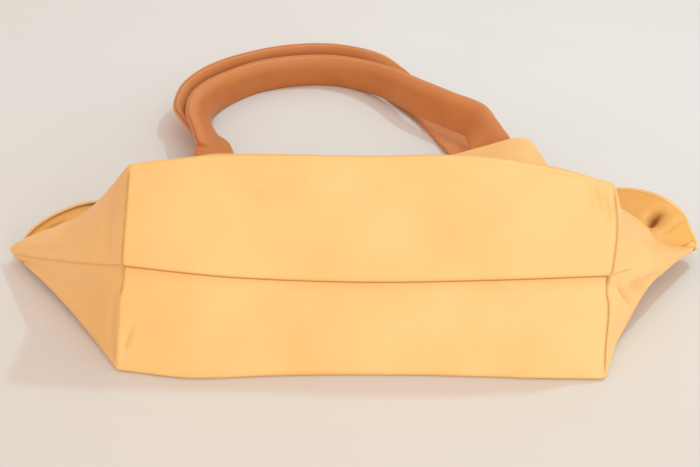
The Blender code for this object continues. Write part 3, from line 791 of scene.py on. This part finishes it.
def make_panel(skin, side, places, normals, seam, from_main):
    """Outer panel with its half of the base; its rim is turned over to the inside as a rounded lip."""
    faces = [tuple(face) for face in skin.quads[side]]
    outer = places + normals * PANEL_THICKNESS
    used, number = renumber(faces)
    count = len(used)
    whole = [outer[index] for index in used] + [places[index] for index in used]
    shade_marks = [seam[index] for index in used] * 2
    quads = [tuple(number[i] for i in face) for face in faces]
    edges = boundary(quads)
    rows = skin.rows[side]
    rim = set(number[i] for i in rows[-1])
    inner_faces = [tuple(i + count for i in reversed(face)) for face in quads]
    under_lip = grid_quads(rows[-1 - RIM_RETURN_ROWS:], False)
    dropped = {frozenset(number[i] + count for i in quad) for quad in under_lip}
    inner_faces = [face for face in inner_faces if frozenset(face) not in dropped]
    quads_all = quads + inner_faces
    for a, b in edges:
        if a in rim and b in rim:
            continue
        quads_all.append((b, a, a + count, b + count))
    hem = np.full(len(rows[-1]), RIM_INSIDE)
    # Painted shade at the lip's inner edge: stronger on the left ear, weaker on the right.
    turned = np.full(len(rows[-1]), RIM_SHADE)
    if side == "front":
        leftness = smooth_step((-places[rows[-1]][:, 0] - EAR_START) / EAR_FADE)
        rightness = smooth_step((places[rows[-1]][:, 0] - EAR_START) / EAR_FADE)
        hem += (LEFT_HEM - RIM_INSIDE) * leftness + (RIGHT_HEM - RIM_INSIDE) * rightness
        turned *= 1 + leftness - 0.8 * rightness
    inside = hem * (0.15 + 0.85 * smooth_step((from_main[rows[-1]] - 0.003) / 0.014))
    curl = []
    width = len(rows[-1])
    for column in range(width):
        top, below = places[rows[-1][column]], places[rows[-3][column]]
        normal = normals[rows[-1][column]]
        along = top - below
        along = along - normal * along.dot(normal)
        along /= max(np.linalg.norm(along), 1e-9)
        radius = (PANEL_THICKNESS + inside[column]) / 2
        centre = top + normal * (PANEL_THICKNESS - radius)
        line = []
        for step in range(1, RIM_STEPS):
            angle = math.pi * step / RIM_STEPS
            line.append(centre + normal * radius * math.cos(angle) + along * radius * math.sin(angle))
        for back in range(RIM_RETURN_ROWS + 1):
            index = rows[-1 - back][column]
            line.append(places[index] - normals[index] * inside[column])
        curl.append(line)
    start = len(whole)
    depth = len(curl[0])
    for line, shade_mark in zip(curl, turned):
        whole += line
        shade_marks += [0.0] * (depth - 1) + [shade_mark]
    flip = side == "front"

    def put(a, b, c, d):
        quads_all.append((d, c, b, a) if flip else (a, b, c, d))

    for column in range(width - 1):
        near, far = start + column * depth, start + (column + 1) * depth
        put(number[rows[-1][column]], number[rows[-1][column + 1]], far, near)
        for step in range(depth - 1):
            put(near + step, far + step, far + step + 1, near + step + 1)
        put(near + depth - 1, far + depth - 1,
            number[rows[-1 - RIM_RETURN_ROWS][column + 1]] + count,
            number[rows[-1 - RIM_RETURN_ROWS][column]] + count)
    for column, direction in ((0, 1), (width - 1, -1)):
        line = [number[rows[-1][column]]] + [start + column * depth + step for step in range(depth)]
        inner = [number[rows[-1 - back][column]] + count for back in range(RIM_RETURN_ROWS + 1)]
        ring = line + inner[::-1]
        quads_all.append(tuple(ring if (direction > 0) != flip else ring[::-1]))
    item = make_object(side + "_panel_skin", np.array(whole), quads_all, YELLOW, np.array(shade_marks))
    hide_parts(side + "_panel")
    return item


def row_band(skin, side, first_row, last_row, first_column, last_column):
    """Faces of a panel between two rows and two columns."""
    rows = [row[first_column:last_column + 1] for row in skin.rows[side][first_row:last_row + 1]]
    return grid_quads(rows, side == "front")


def facing_row(side):
    """Number of the row at the facing's lower edge."""
    return max(index for index, place in enumerate(ALONG) if (1 - place) * PANEL_REACH > FACING_DEPTH[side])


def make_facing(skin, side, places, normals, seam):
    """Leather band inside the rim."""
    first = facing_row(side)
    last = len(ALONG) - 1 - RIM_RETURN_ROWS
    tips = [places[skin.rows[side][-1][end]] for end in (0, -1)]
    rim = [places[index] for index in skin.rows[side][-1]]
    inside = [
        column for column, place in enumerate(rim)
        if min(np.linalg.norm(place - tip) for tip in tips) > FACING_END_GAP
    ]
    faces = row_band(skin, side, first, last, inside[0], inside[-1])
    near = places - normals * FACING_NEAR
    far = places - normals * FACING_FAR
    # The facing takes the panels' painted shade, a little weaker.
    item = shell(side + "_facing_band", near, far, faces, FACING, seam * 0.8)
    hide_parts(side + "_facing")
    return item


def make_lining(skin, side, places, normals, seam, room):
    """Cloth lining from the base to just under the facing."""
    last = facing_row(side) + 1
    faces = row_band(skin, side, 0, last, 0, len(GIRTHS) - 1)
    faces += grid_quads(skin.base_rows[side], side != "front")
    near = places - normals * (LINING_NEAR * room)[:, None]
    far = places - normals * (LINING_FAR * room)[:, None]
    item = shell(side + "_lining_cloth", near, far, faces, CLOTH, seam * 0)
    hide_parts(side + "_lining")
    return item


LOOP_STEPS = 220
PROFILE_CORNER = 0.0011
LAYER_GROOVE = 0.0006
CUP = 24.0
CUP_START = 0.0040
GROOVE_HALF_WIDTH = 0.0005
FACE_STEPS = 9
# Painted light: a strap is lightened along its upper edge, where light grazes it, and where the front strap
# lies flat.
BAND_LIGHT, BAND_START, BAND_FADE = 0.8, 0.005, 0.009
FLAT_START, FLAT_FADE = 0.35, 0.3


def lowest_middle(roll):
    """Least height of a strap's middle that keeps its edge off the floor."""
    half_width = abs(math.sin(roll)) * STRAP_WIDTH / 2
    half_thickness = abs(math.cos(roll)) * STRAP_THICKNESS / 2
    return half_width + half_thickness + FLOOR_CLEARANCE


def loop_samples(side):
    """Middle of a strap's loop and its roll, from the left exit to the right one."""
    exit_along = STRAP_EXIT[side]
    tilt = math.atan(FOOT_SLOPE[side])
    ends = []
    twist = EXIT_TWIST[side]
    for (place, _, heights), roll in zip(FEET[side], (math.pi + tilt, math.pi - tilt)):
        ends.append(np.array((place, exit_along, heights[-1], roll - twist * 0.4)))
        ends.append(np.array((place, exit_along + STRAP_STRAIGHT, heights[-1], roll - twist)))
    controls = ends[:2]
    for x_share, y_share, roll_degrees, lift_share in LOOP_SHARES[side]:
        roll = math.radians(roll_degrees)
        height = lowest_middle(roll) + lift_share * STRAP_WIDTH
        y_place = exit_along + y_share * LOOP_REACH[side]
        controls.append(np.array((x_share * LOOP_HALF_WIDTH, y_place, height, roll)))
    controls += [ends[3], ends[2]]
    lengths = [0.0]
    for before, after in zip(controls, controls[1:]):
        lengths.append(lengths[-1] + np.linalg.norm((after - before)[:3]))
    samples = []
    for step in range(LOOP_STEPS + 1):
        sample = smooth_lookup(lengths, controls, lengths[-1] * step / LOOP_STEPS)
        sample[2] = max(sample[2], lowest_middle(sample[3]))
        samples.append(sample)
    return samples


def strap_stations(side):
    """Middle, width direction and normal along a whole strap, from foot to foot."""
    samples = loop_samples(side)
    stations = []
    slope = FOOT_SLOPE[side]
    foot_width = np.array((-1.0, 0.0, -slope)) / math.hypot(1.0, slope)
    for side_index in (0, 1):
        place, alongs, heights = FEET[side][side_index]
        foot = []
        for along, height in zip(alongs[:-1], heights):
            middle = np.array((place, along, height))
            width = foot_width if side_index == 0 else -foot_width
            forward = np.array((0.0, 1.0 if side_index == 0 else -1.0, 0.0))
            foot.append((middle, width, np.cross(width, forward)))
        if side_index == 0:
            stations += foot
            for index, sample in enumerate(samples):
                before, after = samples[max(index - 1, 0)], samples[min(index + 1, LOOP_STEPS)]
                tangent = (after - before)[:3]
                if index == 0:
                    tangent = np.array((0.0, 1.0, 0.0))
                if index == LOOP_STEPS:
                    tangent = np.array((0.0, -1.0, 0.0))
                tangent = tangent / np.linalg.norm(tangent)
                across = np.cross(tangent, (0.0, 0.0, 1.0))
                across /= np.linalg.norm(across)
                up = np.cross(across, tangent)
                width = across * math.cos(sample[3]) + up * math.sin(sample[3])
                stations.append((sample[:3], width, np.cross(width, tangent)))
        else:
            stations += foot[::-1]
    return stations


def strap_profile():
    """Half-rounded outline of two leather layers, with the groove between them at both edges, where shade is
    painted in.
    """
    half_width, half = STRAP_WIDTH / 2, STRAP_THICKNESS / 2
    points, shade_marks = [], []

    def corner(x_sign, y_sign, angles):
        for angle in angles:
            points.append((
                x_sign * (half_width - PROFILE_CORNER) + PROFILE_CORNER * math.cos(math.radians(angle)),
                y_sign * (half - PROFILE_CORNER) + PROFILE_CORNER * math.sin(math.radians(angle)),
            ))
            shade_marks.append(0.0)

    quarters = ((1, (-90, -60, -30, 0), (0, 30, 60, 90)), (-1, (90, 120, 150, 180), (180, 210, 240, 270)))
    for x_sign, first, second in quarters:
        corner(x_sign, -x_sign, first)
        edge = x_sign * half_width
        # Painted shade: dark in the groove between the layers, faint beside it.
        for turn, sink, shade_mark in ((-1, 0.0, 0.1), (0, LAYER_GROOVE, 0.75), (1, 0.0, 0.1)):
            points.append((edge - x_sign * sink, x_sign * turn * GROOVE_HALF_WIDTH))
            shade_marks.append(shade_mark)
        corner(x_sign, x_sign, second)
        for step in range(1, FACE_STEPS):
            across = x_sign * (half_width - PROFILE_CORNER) * (1 - 2 * step / FACE_STEPS)
            points.append((across, x_sign * half))
            shade_marks.append(0.0)
    return points, shade_marks


def make_strap(side):
    """One strap from foot to foot, which bends where its loop leaves the mouth."""
    stations = strap_stations(side)
    profile, shade_marks = strap_profile()
    count = len(profile)
    places, seam, edge = [], [], []
    for middle, width, normal in stations:
        cup = CUP * max(width[2], 0.0) ** 3
        flat_painted_light = smooth_step((FLAT_START - abs(width[2])) / FLAT_FADE) if side == "front" else 0.0
        for (across, out), shade_mark in zip(profile, shade_marks):
            away = out + cup * max(across - CUP_START, 0.0) ** 2
            places.append(middle + width * across + normal * away)
            seam.append(shade_mark)
            # Painted light along the upper edge of a standing strap and on the flat front strap.
            band = BAND_LIGHT * smooth_step((across - BAND_START) / BAND_FADE) * max(width[2], 0.0)
            edge.append(max(band, flat_painted_light))
    faces = []
    for ring in range(len(stations) - 1):
        for index in range(count):
            after = (index + 1) % count
            low = ring * count
            faces.append((low + index, low + count + index, low + count + after, low + after))
    faces.append(tuple(range(count)))
    faces.append(tuple((len(stations) - 1) * count + index for index in range(count))[::-1])
    places = np.array(places)
    places[:, 1] -= ORIGIN_SETBACK
    item = make_object(side + "_strap_leather", places, faces, TAN, np.array(seam), np.array(edge))
    nodes = [side + "_strap_outer", side + "_strap_inner"]
    nodes += [f"{side}_{hand}_foot_{layer}" for hand in ("left", "right") for layer in ("outer", "inner")]
    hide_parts(*nodes)
    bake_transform(item)
    return item


def make_bag():
    """Panels, facings and linings."""
    skin = make_skin()
    places, normals, seam, from_main = sculpt(skin)
    room = 0.15 + 0.85 * smooth_step(from_main / 0.010)
    for side in ("front", "back"):
        pieces = [
            make_panel(skin, side, places, normals, seam, from_main),
            make_facing(skin, side, places, normals, seam),
            make_lining(skin, side, places, normals, seam, room),
        ]
        for piece in pieces:
            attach(piece, "bag")


FLOOR_HALF = 14.0


def make_floor():
    """Pale floor, with painted light: warmer and a little darker in front of the bag, cooler and lighter
    behind it.
    """
    def build(tree, shader):
        # Painted light: the colour shifts from warm in front to cool behind, for the light's change across
        # the floor.
        near = noise_between(tree, 5.0, (0.740, 0.728, 0.722), (0.758, 0.746, 0.740))
        far = noise_between(tree, 5.0, (0.772, 0.798, 0.832), (0.790, 0.816, 0.850))
        coords = add_node(tree, "ShaderNodeTexCoord")
        parts = add_node(tree, "ShaderNodeSeparateXYZ")
        share = add_node(tree, "ShaderNodeMapRange", interpolation_type="SMOOTHSTEP")
        share.inputs["From Min"].default_value = -0.30
        share.inputs["From Max"].default_value = 0.45
        tree.links.new(coords.outputs["Object"], parts.inputs[0])
        tree.links.new(parts.outputs["Y"], share.inputs["Value"])
        colour = mix_colour(tree, share.outputs["Result"], near, far)
        tree.links.new(colour, shader.inputs["Base Color"])
        shader.inputs["Roughness"].default_value = 0.7
        shader.inputs["Specular IOR Level"].default_value = 0.2
    material = make_material("pale_floor_look", build)
    corners = [(FLOOR_HALF * x, FLOOR_HALF * y, 0.0) for x, y in ((-1, -1), (1, -1), (1, 1), (-1, 1))]
    floor = make_object("pale_floor", np.array(corners), [(0, 1, 2, 3)], material)


def make_camera():
    """The photograph's camera."""
    data = bpy.data.cameras.new("camera")
    data.lens = CAMERA_LENS
    data.sensor_width = CAMERA_SENSOR
    camera = bpy.data.objects.new("camera", data)
    camera.matrix_world = camera_matrix()
    bpy.context.scene.collection.objects.link(camera)
    bpy.context.scene.camera = camera


def add_lamp(name, place, target, size, power, colour):
    """Round lamp aimed at a target."""
    data = bpy.data.lights.new(name, "AREA")
    data.shape = "DISK"
    data.size = size
    data.energy = power
    data.color = colour
    lamp = bpy.data.objects.new(name, data)
    lamp.location = place
    aim = Vector(target) - Vector(place)
    lamp.rotation_euler = aim.to_track_quat("-Z", "Y").to_euler()
    bpy.context.scene.collection.objects.link(lamp)


COOL = (0.58, 1.0, 1.05)
DAY = (0.78, 1.0, 1.10)


def make_light():
    """A small key lamp, two wide lamps and a warm world."""
    add_lamp("key_lamp", (0.88, 0.66, 1.80), (0.0, 0.0, 0.0), 0.12, 7.6, COOL)
    add_lamp("top_lamp", (0.30, 0.35, 2.00), (0.0, 0.0, 0.0), 1.30, 2.8, COOL)
    add_lamp("low_lamp", (0.9, -2.0, 0.55), (0.0, 0.0, 0.05), 1.4, 21.0, DAY)
    world = bpy.data.worlds.new("soft_world")
    bpy.context.scene.world = world
    world.use_nodes = True
    back = world.node_tree.nodes["Background"]
    back.inputs["Color"].default_value = (1.0, 0.785, 0.655, 1.0)
    back.inputs["Strength"].default_value = 0.865


make_camera()
make_light()
make_floor()
make_bag()
for strap_side in ("back", "front"):
    make_strap(strap_side)
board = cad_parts["base_board"].data
board.materials.clear()
board.materials.append(BOARD)
bpy.context.scene.view_settings.view_transform = "Standard"
